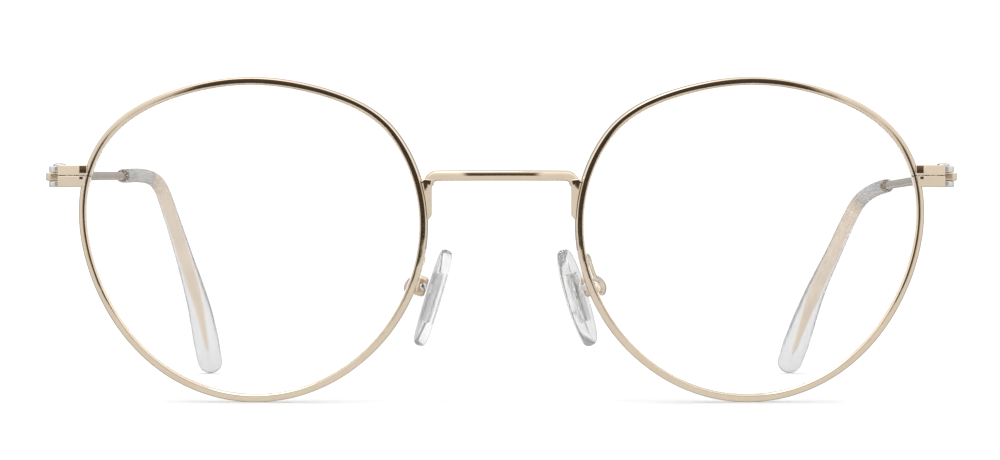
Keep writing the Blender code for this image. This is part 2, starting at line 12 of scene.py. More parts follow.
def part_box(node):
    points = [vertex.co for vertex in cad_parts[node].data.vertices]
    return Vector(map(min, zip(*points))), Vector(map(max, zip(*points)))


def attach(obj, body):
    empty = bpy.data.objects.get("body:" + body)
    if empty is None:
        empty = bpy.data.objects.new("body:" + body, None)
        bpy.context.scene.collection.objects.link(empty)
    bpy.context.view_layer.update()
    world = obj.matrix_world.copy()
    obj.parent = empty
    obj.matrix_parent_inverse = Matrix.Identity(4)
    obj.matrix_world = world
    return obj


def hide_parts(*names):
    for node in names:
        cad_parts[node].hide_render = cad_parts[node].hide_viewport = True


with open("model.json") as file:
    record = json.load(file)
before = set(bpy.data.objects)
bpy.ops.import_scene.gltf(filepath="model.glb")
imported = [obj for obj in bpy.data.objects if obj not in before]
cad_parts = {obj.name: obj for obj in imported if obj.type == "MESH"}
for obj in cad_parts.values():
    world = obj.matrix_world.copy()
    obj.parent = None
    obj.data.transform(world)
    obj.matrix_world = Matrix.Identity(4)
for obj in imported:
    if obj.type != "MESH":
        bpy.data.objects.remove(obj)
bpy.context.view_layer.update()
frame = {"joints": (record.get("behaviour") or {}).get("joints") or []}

MM = 0.001
SIDES = ((-1, "left"), (1, "right"))
JOINTS = {j["name"]: j for j in frame["joints"]}

# ---- where things are, from the frame --------------------------------------------------------------
PIN_BACK = 5.0  # hinge pins stand this far behind the plane of the lens centres
PIN = {side: Vector(JOINTS[f"temple_{tag}_hinge"]["pos_m"]) / MM for side, tag in SIDES}
HOME = Vector((0, PIN[1].y - PIN_BACK, 0))  # middle of the front, on the floor below the lens centres


def limits(node):
    """Lowest and highest corner of a CAD node, seen from HOME."""
    low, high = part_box(node)
    return low / MM - HOME, high / MM - HOME


# ---- front -----------------------------------------------------------------------------------------
LENS_X = 36.2  # lens centres, sideways
WRAP = math.radians(5.0)  # each lens turned towards its temple
TILT = math.radians(4.0)  # top of the front leaning forwards
BASE_R = 130.0  # base curve of the lenses
RIM_R = 23.70  # outer radius of a rim without its bulges
NASAL_BULGE = (35.7, 2.70, 54.1, 26.7)  # angle, height, width below, width above
TEMPORAL_BULGE = (149.9, 3.30, 30.6, 38.1)
RIM_SPLIT = (158.65, 0.28)  # angle of the closing gap, half its width
RIM_STEPS = 400
RIM_FRONT = -1.04  # front and back of the wire, from its middle
RIM_BACK = 0.95
RIM_INNER = 1.15  # thickness of the wire seen from the front
RIM_SECTION = (  # outward from the outer edge, back from the middle of the wire, rounding
    (-0.02, -0.72, 0.16), (-0.22, -1.02, 0.12), (-0.94, RIM_FRONT, 0.10), (-RIM_INNER, -0.85, 0.08),
    (-RIM_INNER, -0.38, 0.03), (-0.65, 0.00, 0.03), (-RIM_INNER, 0.38, 0.03), (-RIM_INNER, RIM_BACK, 0.15),
    (-0.02, RIM_BACK, 0.20),
)
LENS_HALF = 0.8  # half the thickness
LENS_EDGE = -1.25  # edge and bevel of the lens, out from the rim's outer edge
LENS_BEVEL = -0.74
LENS_BEVEL_HALF = 0.32
LENS_STEPS = 400

BRIDGE_Z = 33.04
BRIDGE_Y = -2.30
BRIDGE_BOW = 30.0  # radius of the forward bow
BRIDGE_SIZE = (1.58, 1.48)  # depth, height
BRIDGE_BEND = 1.30
BRIDGE_END = 10.62  # centre line of the turned-down ends
LEG_OUTLINE = (  # sideways, up, rounding
    (9.95, 32.45, 0.27), (10.16, 31.20, 0.5), (10.16, 27.30, 0.5), (10.85, 26.45, 0.30), (11.50, 27.00, 0.27),
    (12.20, 31.90, 0.27), (11.20, 32.60, 0.27),
)
LEG_Y = (-3.05, -1.35)
LEG_MIDDLE = 29.5  # height that the legs lean about
LEG_TILT = TILT * 1.3

# ---- hinge -----------------------------------------------------------------------------------------
LUG_BEND = (61.75, 0.80)  # where the front face turns back, and how far it goes back
LUG_DRAFT = 0.20  # how much the lower block's front slopes back
KNUCKLE_R = 1.50
PIN_R = 0.48
RUN = 0.05  # play round pins
GAP = 0.04  # between soldered neighbours
CLOSING = (62.60, 2.25)  # place of the closing screw, sideways and back
SPLIT_Z = 33.15  # where the two blocks meet
SCREW_HEAD_R = 0.94
SCREW_SEAT_R = 0.86
EYE_OUTLINE = (  # away from the pin sideways and back, rounding
    (-1.50, -1.50, 1.45), (1.90, -1.50, 0.85), (1.90, 1.60, 0.8), (1.53, 3.20, 0.4), (0.17, 3.20, 0.4),
    (-0.20, 1.40, 0.5), (-1.02, 1.10, 0.5), (-1.50, 0.30, 0.9),
)

# ---- temples ---------------------------------------------------------------------------------------
WIRE_R = 0.68
TEMPLE_PATHS = {  # sideways, back, up
    -1: ((66.00, 6.7, 33.06), (65.70, 22, 33.4), (64.70, 48, 34.2), (63.05, 72, 34.8), (61.85, 86, 35.2),
         (60.70, 95, 34.95), (59.70, 100, 33.6), (58.80, 104.5, 30.3), (56.80, 114, 21.5),
         (54.90, 123.5, 12.1), (53.75, 132.3, 2.29)),
    1: ((66.00, 6.7, 33.06), (65.80, 22, 33.2), (65.25, 48, 33.3), (64.40, 72, 33.2), (63.25, 86, 32.5),
        (62.20, 95.5, 31.0), (61.10, 100.8, 28.3), (59.00, 108.5, 22.2), (56.20, 119, 13.9),
        (53.30, 132.3, 2.27)),
}
PATH_STEPS = 256
CORE_TAPER = (0.74, 0.945)  # shares of the sleeve between which the core thins
CORE_END_R = 0.22
TIP_RADII = (  # share of the sleeve, radius
    (0, 1.25), (0.43, 1.30), (0.54, 1.40), (0.65, 1.58), (0.74, 1.83), (0.84, 2.15), (0.93, 2.35), (1, 2.25),
)
TIP_FLAT = 0.92
TIP_DOME = 2.25
BORE_END = 0.012  # share of the sleeve left empty past the core
SATIN_REACH = 3.0  # satin metal up to this far behind the hinge pin
CORE_START = 1.0  # core colour from this far inside the sleeve
SLEEVE_FIT = ((0, 0.04), (0.27, 0.04), (0.33, -0.06), (1, -0.06))  # loose at the mouth, moulded on lower down

# ---- nose pads -------------------------------------------------------------------------------------
PAD_CENTRE = {-1: (10.17, 9.0, 15.2), 1: (11.20, 9.0, 15.2)}
PAD_LEAN = math.radians(16.8)
PAD_SPLAY = {-1: math.radians(8.0), 1: math.radians(17.5)}
PAD_SIZE = (7.4, 14.9, 1.85)  # width, length, thickness
PAD_ROUND = 0.78  # how far the rounding of the edge reaches in
PAD_FLAT = 0.94  # share of the thickness at the end of that rounding
INSERT_SIZE = (3.4, 7.4, 0.5)
POCKET_PLAY = 0.03  # of the insert in the pad
TONGUE = (0.90, 1.40)  # thickness, width
TONGUE_HIGH = 0.62  # screw above the bottom of the box
BOX_SIZE = (1.75, 1.9, 3.0)  # depth, width, height
BOX_WALL = 0.42
BOX_UP = 1.15  # above the middle of the pad
BOX_GAP = 0.45  # between pad and box
BOX_BULGE = 0.20  # share by which the box narrows towards its ends
PAD_PIN_R = 0.30
ARM_R = 0.44
ARM_SHIFT = {-1: -1.1, 1: 0.0}
ARM_ROOT = ((11.80, -1.6, 21.5), (12.00, -0.4, 21.6))
ARM_LOOP = ((12.65, 0.9, 21.2), (13.05, 1.9, 19.9), (13.65, 3.3, 18.4), (14.50, 4.6, 17.85),
            (15.10, 5.9, 16.95), (14.95, 7.3, 16.05))


# ---- building meshes -------------------------------------------------------------------------------
def make(name, skin, finish=None, smooth=35):
    verts, faces = skin
    mesh = bpy.data.meshes.new(name)
    mesh.from_pydata([(Vector(v) + HOME) * MM for v in verts], [], faces)
    bm = bmesh.new()
    bm.from_mesh(mesh)
    bmesh.ops.recalc_face_normals(bm, faces=bm.faces)
    bm.to_mesh(mesh)
    bm.free()
    ob = bpy.data.objects.new(name, mesh)
    bpy.context.scene.collection.objects.link(ob)
    if finish:
        mesh.materials.append(finish)
    shade(ob, smooth)
    return ob


def shade(ob, degrees):
    for poly in ob.data.polygons:
        poly.use_smooth = True
    ob.data.set_sharp_from_angle(angle=math.radians(degrees))


def combine(ob, tool, operation="DIFFERENCE", smooth=35):
    """Cut the tool out of ob, or join it on, and drop the tool."""
    mod = ob.modifiers.new("combine", "BOOLEAN")
    mod.operation = operation
    mod.solver = "EXACT"
    mod.object = tool
    bpy.context.view_layer.update()
    graph = bpy.context.evaluated_depsgraph_get()
    mesh = bpy.data.meshes.new_from_object(ob.evaluated_get(graph))
    ob.modifiers.clear()
    finish = ob.data.materials[0] if ob.data.materials else None
    ob.data = mesh
    mesh.materials.clear()
    if finish:
        mesh.materials.append(finish)
    bpy.data.objects.remove(tool, do_unlink=True)
    shade(ob, smooth)
    return ob


def install(ob, body, node, slack=0.15):
    """Put a finished piece on its body in place of its CAD node, if it lies where the node does."""
    bpy.context.view_layer.update()
    graph = bpy.context.evaluated_depsgraph_get()
    corners = [ob.matrix_world @ Vector(c) for c in ob.evaluated_get(graph).bound_box]
    for k in range(3):
        mine = (min(c[k] for c in corners), max(c[k] for c in corners))
        theirs = [corner[k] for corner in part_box(node)]
        off = max(abs(a - b) for a, b in zip(mine, theirs)) / MM
        if off > slack:
            raise RuntimeError(f"{ob.name} is {off:.3f} mm off {node} on axis {k}")
    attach(ob, body)
    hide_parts(node)


def flatten_shading(ob):
    """Keep the flat faces of an eased block flat in shading."""
    mod = ob.modifiers.new("weighted", "WEIGHTED_NORMAL")
    mod.keep_sharp = True


def loft(rings, capped=True):
    n = len(rings[0])
    verts = [tuple(p) for ring in rings for p in ring]
    faces = []
    for i in range(len(rings) - 1):
        a = i * n
        b = a + n
        for j in range(n):
            k = (j + 1) % n
            faces.append((a + j, a + k, b + k, b + j))
    if capped:
        faces.append(tuple(range(n)))
        faces.append(tuple(range((len(rings) - 1) * n, len(rings) * n)))
    return verts, faces


def domed(rings, first, last):
    """Skin of rings closed at both ends by fans to the given points."""
    verts, faces = loft(rings, capped=False)
    n = len(rings[0])
    for start, hub in ((0, first), ((len(rings) - 1) * n, last)):
        verts.append(tuple(hub))
        faces += [(len(verts) - 1, start + j, start + (j + 1) % n) for j in range(n)]
    return verts, faces


def rounded(corners, steps=4):
    """Closed outline from (a, b, rounding) corners."""
    points = []
    for i, (a, b, radius) in enumerate(corners):
        here = Vector((a, b))
        before = (Vector(corners[i - 1][:2]) - here).normalized()
        after = (Vector(corners[(i + 1) % len(corners)][:2]) - here).normalized()
        half = before.angle(after) / 2
        middle = here + (before + after).normalized() * (radius / math.sin(half))
        start = here + before * (radius / math.tan(half)) - middle
        end = here + after * (radius / math.tan(half)) - middle
        turn = start.angle(end)
        for k in range(steps + 1):
            t = k / steps
            spoke = (start * math.sin((1 - t) * turn) + end * math.sin(t * turn)) / math.sin(turn)
            points.append(tuple(middle + spoke))
    return [p for i, p in enumerate(points) if math.dist(p, points[i - 1]) > 1e-5]


def inset(outline, amount):
    """The same points moved inwards by the amount."""
    n = len(outline)
    area = sum(outline[i - 1][0] * outline[i][1] - outline[i][0] * outline[i - 1][1] for i in range(n))
    turn = 1 if area > 0 else -1
    points = []
    for i, point in enumerate(outline):
        here = Vector(point)
        a = (here - Vector(outline[i - 1])).normalized()
        b = (Vector(outline[(i + 1) % n]) - here).normalized()
        normal = Vector((-a.y - b.y, a.x + b.x)) * turn
        points.append(tuple(here + normal * (amount / (1 + a.dot(b)))))
    return points


def slab(outline, low, high, edge=0.0, axis="Z", steps=4):
    """Plate of that outline with rounded edges; Z: drawn in XY and raised; Y: drawn in XZ and pushed back."""
    if edge:
        turns = [math.pi / 2 * k / steps for k in range(steps + 1)]
        rows = [(edge * (1 - math.sin(t)), low + edge * (1 - math.cos(t))) for t in turns]
        rows += [(amount, low + high - h) for amount, h in reversed(rows)]
    else:
        rows = [(0.0, low), (0.0, high)]
    if axis == "Z":
        return loft([[(x, y, h) for x, y in inset(outline, amount)] for amount, h in rows])
    return loft([[(x, h, z) for x, z in inset(outline, amount)] for amount, h in rows])


def box(low, high, corner=0.0, edge=0.0):
    corners = [(low[0], low[1]), (high[0], low[1]), (high[0], high[1]), (low[0], high[1])]
    outline = rounded([(*c, corner) for c in corners]) if corner else corners
    return slab(outline, low[2], high[2], edge)


def lathe(base, direction, profile, steps=40):
    way = Vector(direction).normalized()
    side = way.orthogonal().normalized()
    other = way.cross(side)
    angles = [2 * math.pi * i / steps for i in range(steps)]
    rings = []
    for along, radius in profile:
        centre = Vector(base) + way * along
        rings.append([centre + (side * math.cos(a) + other * math.sin(a)) * radius for a in angles])
    return loft(rings)


def rod(base, direction, low, high, radius, steps=40):
    return lathe(base, direction, ((low, radius), (high, radius)), steps)


def arc(cx, cy, radius, start, end, steps):
    turn = [math.radians(start + (end - start) * i / steps) for i in range(steps + 1)]
    return [(cx + radius * math.cos(t), cy + radius * math.sin(t)) for t in turn]


def curve(points, steps):
    """Smooth line through the points, Catmull-Rom, in even steps."""
    p = [Vector(q) for q in points]
    p = [p[0] * 2 - p[1]] + p + [p[-1] * 2 - p[-2]]
    fine = []
    for i in range(1, len(p) - 2):
        for k in range(24):
            t = k / 24
            a, b, c, d = p[i - 1 : i + 3]
            fine.append(0.5 * (2 * b + (c - a) * t + (2 * a - 5 * b + 4 * c - d) * t**2
                               + (3 * b - a - 3 * c + d) * t**3))
    fine.append(p[-2])
    fine = np.array([tuple(q) for q in fine])
    reach = np.concatenate([[0], np.cumsum(np.linalg.norm(np.diff(fine, axis=0), axis=1))])
    even = np.linspace(0, reach[-1], steps + 1)
    return [Vector(np.interp(even, reach, fine[:, k])[i] for k in range(3)) for i in range(steps + 1)]


def frames(path, side, carried=True):
    """Tangent and two cross directions at every point, carried along or facing the same side all the way."""
    out = []
    across = Vector(side)
    for i in range(len(path)):
        way = (path[min(i + 1, len(path) - 1)] - path[max(i - 1, 0)]).normalized()
        start = across if carried else Vector(side)
        across = (start - way * start.dot(way)).normalized()
        out.append((way, across, way.cross(across)))
    return out


def tube(path, side, radii, flat=1.0, sides=32):
    rings = []
    for point, (_, across, other), radius in zip(path, frames(path, side), radii):
        ring = []
        for j in range(sides):
            a = 2 * math.pi * (j + 0.5) / sides
            ring.append(point + across * (radius * math.cos(a)) + other * (radius * flat * math.sin(a)))
        rings.append(ring)
    return rings


def mix(table, t):
    return float(np.interp(t, [row[0] for row in table], [row[1] for row in table]))


# ---- the rim's shape -------------------------------------------------------------------------------
def bulge(angle, spec):
    centre, height, before, after = spec
    away = (angle - centre + 180) % 360 - 180
    return height * math.exp(-((away / (before if away < 0 else after)) ** 2))


def rim_radius(angle):
    return RIM_R + bulge(angle, NASAL_BULGE) + bulge(angle, TEMPORAL_BULGE)


def sag(radius):
    return BASE_R - math.sqrt(BASE_R**2 - radius**2)


def outline_point(angle, offset):
    """Point on the outline in the rim's own plane, moved out along the normal; 0 nasal, 90 top."""
    here = []
    for a in (angle - 0.5, angle, angle + 0.5):
        r = rim_radius(a)
        here.append((r * math.cos(math.radians(a)), r * math.sin(math.radians(a))))
    dx = here[2][0] - here[0][0]
    dz = here[2][1] - here[0][1]
    size = math.hypot(dx, dz)
    return here[1][0] + offset * dz / size, here[1][1] - offset * dx / size


def lens_matrix(side):
    turn = Matrix.Rotation(side * WRAP, 4, "Z") @ Matrix.Rotation(TILT, 4, "X")
    return Matrix.Translation((side * LENS_X, 0, LENS_Z)) @ turn


def rim_ring(side, angle, section):
    matrix = lens_matrix(side)
    ring = []
    for offset, depth in section:
        a, h = outline_point(angle, offset)
        ring.append(matrix @ Vector((-side * a, depth + sag(rim_radius(angle)) - sag(RIM_R), h)))
    return ring


def rim_cutter(side, start, end, grow, inward=RIM_INNER, steps=60):
    """Plain ring segment a little fatter than the rim, to cut its seat in a neighbour."""
    near, far, inner = RIM_FRONT - grow, RIM_BACK + grow, -inward - grow
    section = ((grow, near), (inner, near), (inner, far), (grow, far))
    rings = [rim_ring(side, start + (end - start) * i / steps, section) for i in range(steps + 1)]
    return make("cutter", loft(rings))


RIM_PROFILE = rounded(RIM_SECTION)
LENS_Z = 0.0  # height of the lens centres: raised until the rims stand as low as the CAD's
LENS_Z = limits("rim_left")[0].z - min(p.z for a in range(240, 300) for p in rim_ring(1, a, RIM_PROFILE))


# ---- finishes --------------------------------------------------------------------------------------
class Nodes:
    """Small helper that adds nodes to a material and joins them up."""

    def __init__(self, name):
        self.material = bpy.data.materials.new(name)
        self.material.use_nodes = True
        self.tree = self.material.node_tree
        self.shader = self.tree.nodes["Principled BSDF"]

    def add(self, kind):
        return self.tree.nodes.new(kind)

    def join(self, out, into):
        self.tree.links.new(out, into)

    def noise(self, scale, detail=3.0, stretch=None):
        """Noise over the object's own coordinates, in cycles per metre."""
        where = self.add("ShaderNodeTexCoord")
        source = where.outputs["Object"]
        if stretch:
            mapping = self.add("ShaderNodeMapping")
            mapping.inputs["Scale"].default_value = stretch
            self.join(source, mapping.inputs["Vector"])
            source = mapping.outputs["Vector"]
        node = self.add("ShaderNodeTexNoise")
        node.inputs["Scale"].default_value = scale
        node.inputs["Detail"].default_value = detail
        self.join(source, node.inputs["Vector"])
        return node.outputs["Fac"]

    def ramp(self, source, low, high):
        """Number that goes from low to high as a noise goes through its middle third."""
        node = self.add("ShaderNodeMapRange")
        for name, value in (("From Min", 0.35), ("From Max", 0.65), ("To Min", low), ("To Max", high)):
            node.inputs[name].default_value = value
        self.join(source, node.inputs["Value"])
        return node.outputs["Result"]

    def blend(self, source, first, second):
        """Colour between two colours, by the source."""
        node = self.add("ShaderNodeMix")
        node.data_type = "RGBA"
        node.inputs[6].default_value = (*first, 1)
        node.inputs[7].default_value = (*second, 1)
        self.join(source, node.inputs[0])
        return node.outputs[2]

    def bump(self, source, depth, strength=1.0, below=None):
        node = self.add("ShaderNodeBump")
        node.inputs["Strength"].default_value = strength
        node.inputs["Distance"].default_value = depth
        self.join(source, node.inputs["Height"])
        if below:
            self.join(below, node.inputs["Normal"])
        return node.outputs["Normal"]

    def set(self, **values):
        for key, value in values.items():
            self.shader.inputs[key.replace("_", " ")].default_value = value


WAVE_DEPTH = 0.00002  # metres, as are all depths of bumps
GRAIN_DEPTH = 0.0000003
MOULD_RIPPLE = 0.000002
LENS_RIPPLE = 0.0000005


def metal(name, light, dark, rough):
    """Polished plated metal: slight cloudiness of colour, fine polishing marks, faint hand-made waves."""
    n = Nodes(name)
    cloud = n.noise(420.0, 4.0)
    fine = n.noise(5000.0, 2.0, (1.0, 0.15, 1.0))
    n.join(n.blend(n.ramp(cloud, 0.0, 1.0), light, dark), n.shader.inputs["Base Color"])
    n.join(n.ramp(fine, rough[0], rough[1]), n.shader.inputs["Roughness"])
    soft = n.bump(n.noise(260.0, 1.0), WAVE_DEPTH)
    n.join(n.bump(fine, GRAIN_DEPTH, 0.5, soft), n.shader.inputs["Normal"])
    n.set(Metallic=1.0)
    return n.material


def plastic(name, tint, cloud_tint, ior, rough, transmission, cloud_scale=300.0, ripple=MOULD_RIPPLE):
    """Clear or cloudy plastic with faint moulding ripples and handling marks."""
    n = Nodes(name)
    cloud = n.noise(cloud_scale, 3.0)
    n.join(n.blend(n.ramp(cloud, 0.0, 1.0), tint, cloud_tint), n.shader.inputs["Base Color"])
    n.join(n.ramp(n.noise(600.0, 2.0), rough[0], rough[1]), n.shader.inputs["Roughness"])
    n.join(n.bump(n.noise(240.0, 1.0), ripple), n.shader.inputs["Normal"])
    n.set(IOR=ior, Transmission_Weight=transmission)
    return n.material


GOLD = metal("champagne_gold", (0.88, 0.75, 0.585), (0.85, 0.71, 0.545), (0.04, 0.08))
CORE = metal("core_gold", (0.92, 0.72, 0.48), (0.86, 0.64, 0.40), (0.18, 0.28))
NICKEL = metal("nickel_silver", (0.86, 0.85, 0.83), (0.78, 0.765, 0.74), (0.34, 0.44))
STEEL = metal("screw_steel", (0.82, 0.81, 0.79), (0.74, 0.73, 0.71), (0.08, 0.18))
LENS = plastic("demo_lens", (1.0, 1.0, 1.0), (1.0, 1.0, 1.0), 1.49, (0.0, 0.004), 1.0, ripple=LENS_RIPPLE)
SATIN = metal("satin_gold", (0.87, 0.73, 0.56), (0.80, 0.65, 0.47), (0.30, 0.40))
PAD = plastic("pad_silicone", (0.94, 0.94, 0.945), (0.87, 0.87, 0.875), 1.38, (0.02, 0.05), 0.80)
INSERT = plastic("pad_insert_plastic", (1.0, 1.0, 1.0), (0.98, 0.98, 0.985), 1.43, (0.02, 0.05), 0.85)
MILKY = plastic("milky_acetate", (0.80, 0.80, 0.805), (0.76, 0.76, 0.765), 1.38, (0.05, 0.09), 0.70, 120.0)


# ---- pieces ----------------------------------------------------------------------------------------
def rim(side, tag):
    centre, half = RIM_SPLIT
    angles = [centre + half + (360 - 2 * half) * i / RIM_STEPS for i in range(RIM_STEPS + 1)]
    ob = make(f"{tag}_rim", loft([rim_ring(side, a, RIM_PROFILE) for a in angles]), GOLD, smooth=30)
    flatten_shading(ob)
    install(ob, "front", f"rim_{tag}")


def lens(side, tag):
    """Thin curved shell with a V bevel round its edge."""
    edge = LENS_BEVEL_HALF
    shares = [0.08 * k for k in range(1, 12)] + [0.93, 0.97]
    rows = [(f, LENS_EDGE, -LENS_HALF) for f in shares]
    rows += [(1, LENS_EDGE, -LENS_HALF), (1, LENS_EDGE, -edge), (1, LENS_BEVEL, 0), (1, LENS_EDGE, edge)]
    rows += [(1, LENS_EDGE, LENS_HALF)] + [(f, LENS_EDGE, LENS_HALF) for f in reversed(shares)]
    m = lens_matrix(side)
    rings = []
    for share, offset, depth in rows:
        ring = []
        for i in range(LENS_STEPS):
            angle = 360 * i / LENS_STEPS
            a, h = outline_point(angle, offset)
            lift = sag(rim_radius(angle)) - sag(math.hypot(a, h))
            level = sag(math.hypot(a, h) * share) + lift * share**4
            ring.append(m @ Vector((-side * a * share, depth + level - sag(RIM_R), h * share)))
        rings.append(ring)
    hubs = [m @ Vector((0, depth - sag(RIM_R), 0)) for depth in (-LENS_HALF, LENS_HALF)]
    ob = make(f"{tag}_lens", domed(rings, *hubs), LENS, smooth=25)
    install(ob, "front", f"lens_{tag}")


def bow(x):
    return math.sqrt(BRIDGE_BOW**2 - BRIDGE_END**2) - math.sqrt(BRIDGE_BOW**2 - x**2)


def squircle(across, other, deep, tall, power=0.62, sides=40):
    ring = []
    for j in range(sides):
        a = 2 * math.pi * (j + 0.5) / sides
        c, s = math.cos(a), math.sin(a)
        u = math.copysign(abs(c) ** power, c) * deep / 2
        v = math.copysign(abs(s) ** power, s) * tall / 2
        ring.append(across * u + other * v)
    return ring


def bridge():
    end, bend = BRIDGE_END, BRIDGE_BEND
    corner = arc(end - bend, BRIDGE_Z - bend, bend, 0, 90, 14)
    along = [(end - bend) * (1 - k / 24) for k in range(1, 25)]
    half_line = [(end, BRIDGE_Z - bend - 0.15)] + corner + [(x, BRIDGE_Z) for x in along]
    line = half_line + [(-x, z) for x, z in reversed(half_line[:-1])]
    path = [Vector((x, BRIDGE_Y + bow(x), z)) for x, z in line]
    rings = []
    for point, (_, across, other) in zip(path, frames(path, (0, -1, -TILT), False)):
        rings.append([point + p for p in squircle(across, other, *BRIDGE_SIZE)])
    bar = make("bridge_bar", loft(rings), GOLD)
    for side in (-1, 1):
        outline = [(side * x, z) for x, z in rounded(LEG_OUTLINE)]
        verts, faces = slab(outline, *LEG_Y, edge=0.24, axis="Y", steps=6)
        verts = [(x, y - math.tan(LEG_TILT) * (z - LEG_MIDDLE), z) for x, y, z in verts]
        leg = make("leg", (verts, faces))
        combine(bar, leg, "UNION")
        combine(bar, rim_cutter(side, 2, 38, GAP))
    install(bar, "front", "bridge", 0.2)


def lug_block(side, tag, upper):
    level = "upper" if upper else "lower"
    low, high = limits(f"lug_{level}_{tag}")
    inner, outer = sorted((abs(low.x), abs(high.x)))
    near, far = low.y, high.y
    bend, turned = LUG_BEND
    start = (inner, near, 0.18 if upper else 0.58)
    corners = [start, (bend, near, 3.0), (outer, near + turned, 0.25), (outer, far, 0.18), (inner, far, 0.18)]
    outline = [(side * x, y) for x, y in rounded(corners, 8)]
    verts, faces = slab(outline, low.z, high.z, 0.16)
    if not upper:
        steep = LUG_DRAFT / (high.z - low.z) / (far - near)
        verts = [(x, y + steep * (high.z - z) * (far - y), z) for x, y, z in verts]
    block = make(f"{tag}_lug_{level}", (verts, faces), GOLD)
    combine(block, rim_cutter(side, 140, 176, GAP))
    screw = (side * CLOSING[0], CLOSING[1], 0)
    if upper:
        combine(block, make("hole", rod(screw, (0, 0, 1), low.z - 1, high.z - 0.45, PIN_R - 0.04)))
    else:
        combine(block, make("hole", rod(screw, (0, 0, 1), low.z - 1, high.z + 1, PIN_R + RUN)))
        combine(block, make("seat", rod(screw, (0, 0, 1), low.z - 1, low.z + 0.50, SCREW_SEAT_R)))
    flatten_shading(block)
    install(block, "front", f"lug_{level}_{tag}")


def knuckle(side, tag, upper):
    level = "upper" if upper else "lower"
    low, high = limits(f"knuckle_{level}_{tag}")
    x = abs(PIN[side].x)
    r = KNUCKLE_R
    corners = [(x - r, low.y, 0.16), (x + r, low.y, 1.1), (x + r, PIN_BACK + r, r), (x - r, PIN_BACK + r, r)]
    outline = [(side * a, y) for a, y in rounded(corners, 16)]
    leaf = make(f"{tag}_knuckle_{level}", slab(outline, low.z, high.z, 0.14), NICKEL)
    combine(leaf, make("hole", rod((side * x, PIN_BACK, 0), (0, 0, 1), low.z - 1, high.z + 1, PIN_R + RUN)))
    flatten_shading(leaf)
    install(leaf, "front", f"knuckle_{level}_{tag}")


def slotted_screw(name, base, direction, profile, slot, steps=40):
    screw = make(name, lathe(base, direction, profile, steps), STEEL)
    floor, width, blade = slot
    way = Vector(direction).normalized()
    along = Vector(blade).normalized() * 2
    across = way.cross(along).normalized() * (width / 2)
    corners = [along + across, along - across, -along - across, -along + across]
    rings = [[Vector(base) + way * h + c for c in corners] for h in (floor, floor + 2)]
    return combine(screw, make("slot", loft(rings)))


def dome(base, radius, height, steps=5):
    """Profile of a rounded screw head from its rim to its top."""
    turn = [math.pi / 2 * k / steps for k in range(steps)]
    return [(base + height * math.sin(t), radius * math.cos(t) ** 0.7) for t in turn]


def hinge_screw(side, tag):
    low, high = limits(f"hinge_screw_{tag}")
    top = limits(f"knuckle_upper_{tag}")[1].z
    profile = [(low.z, 0.28), (low.z + 0.12, 0.44), (low.z + 0.20, PIN_R), (top + 0.02, PIN_R)]
    profile += [(top + 0.02, 0.86), (top + 0.06, 0.93)]
    profile += dome(top + 0.20, SCREW_HEAD_R, high.z - top - 0.20)
    blade = (math.cos(0.5), math.sin(0.5), 0)
    base = (PIN[side].x, PIN_BACK, 0)
    ob = slotted_screw(f"{tag}_hinge_screw", base, (0, 0, 1), profile, (top + 0.18, 0.26, blade))
    install(ob, "front", f"hinge_screw_{tag}")


def closing_screw(side, tag):
    low, high = limits(f"closing_screw_{tag}")
    head = low.z + 0.42
    thread = PIN_R - 0.07
    profile = [(-high.z, 0.30), (-high.z + 0.10, thread), (-SPLIT_Z - 0.02, thread), (-SPLIT_Z, PIN_R)]
    profile += [(-head, PIN_R), (-head, 0.80), (-low.z - 0.08, 0.80), (-low.z - 0.02, 0.72), (-low.z, 0.62)]
    base = (side * CLOSING[0], CLOSING[1], 0)
    ob = slotted_screw(f"{tag}_closing_screw", base, (0, 0, -1), profile, (-low.z - 0.24, 0.24, (1, 0.3, 0)))
    install(ob, "front", f"closing_screw_{tag}")


def temple_path(side):
    return curve([(side * x, y, z) for x, y, z in TEMPLE_PATHS[side]], PATH_STEPS)


def sleeve_share(path, tag):
    """Share of the sleeve's length at every point of the path; negative before the mouth."""
    mouth = limits(f"temple_tip_{tag}")[0].y
    reach = [0.0]
    for a, b in zip(path, path[1:]):
        reach.append(reach[-1] + (b - a).length)
    start = min(range(len(path)), key=lambda i: abs(path[i].y - mouth))
    return [(r - reach[start]) / (reach[-1] - reach[start]) for r in reach], start


def core_radius(share):
    a, b = CORE_TAPER
    return mix(((0, WIRE_R), (a, WIRE_R), (b, CORE_END_R)), share)


def temple(side, tag):
    pin = (PIN[side].x, PIN_BACK, 0)
    path = temple_path(side)
    shares, _ = sleeve_share(path, tag)
    kept = [i for i, s in enumerate(shares) if s <= CORE_TAPER[1]]
    radii = [core_radius(shares[i]) for i in kept]
    body = make(f"{tag}_temple_wire", loft(tube([path[i] for i in kept], (side, 0, 0), radii)), GOLD)
    gap = RUN + 0.03
    low = limits(f"knuckle_lower_{tag}")[1].z + gap
    high = limits(f"knuckle_upper_{tag}")[0].z - gap
    x = abs(PIN[side].x)
    outline = [(side * (x + a), PIN_BACK + b) for a, b in rounded(EYE_OUTLINE, 8)]
    eye = make("eye", slab(outline, low, high, 0.14))
    combine(body, eye, "UNION")
    combine(body, make("hole", rod(pin, (0, 0, 1), low - 1, high + 1, PIN_R + RUN)))
    body.data.materials.append(SATIN)
    body.data.materials.append(CORE)
    mouth = limits(f"temple_tip_{tag}")[0].y
    for poly in body.data.polygons:
        back = poly.center.y / MM - HOME.y
        if back < PIN_BACK + SATIN_REACH:
            poly.material_index = 1
        elif back > mouth + CORE_START:
            poly.material_index = 2
        else:
            poly.material_index = 0
    install(body, f"temple_arm_{tag}", f"temple_{tag}")


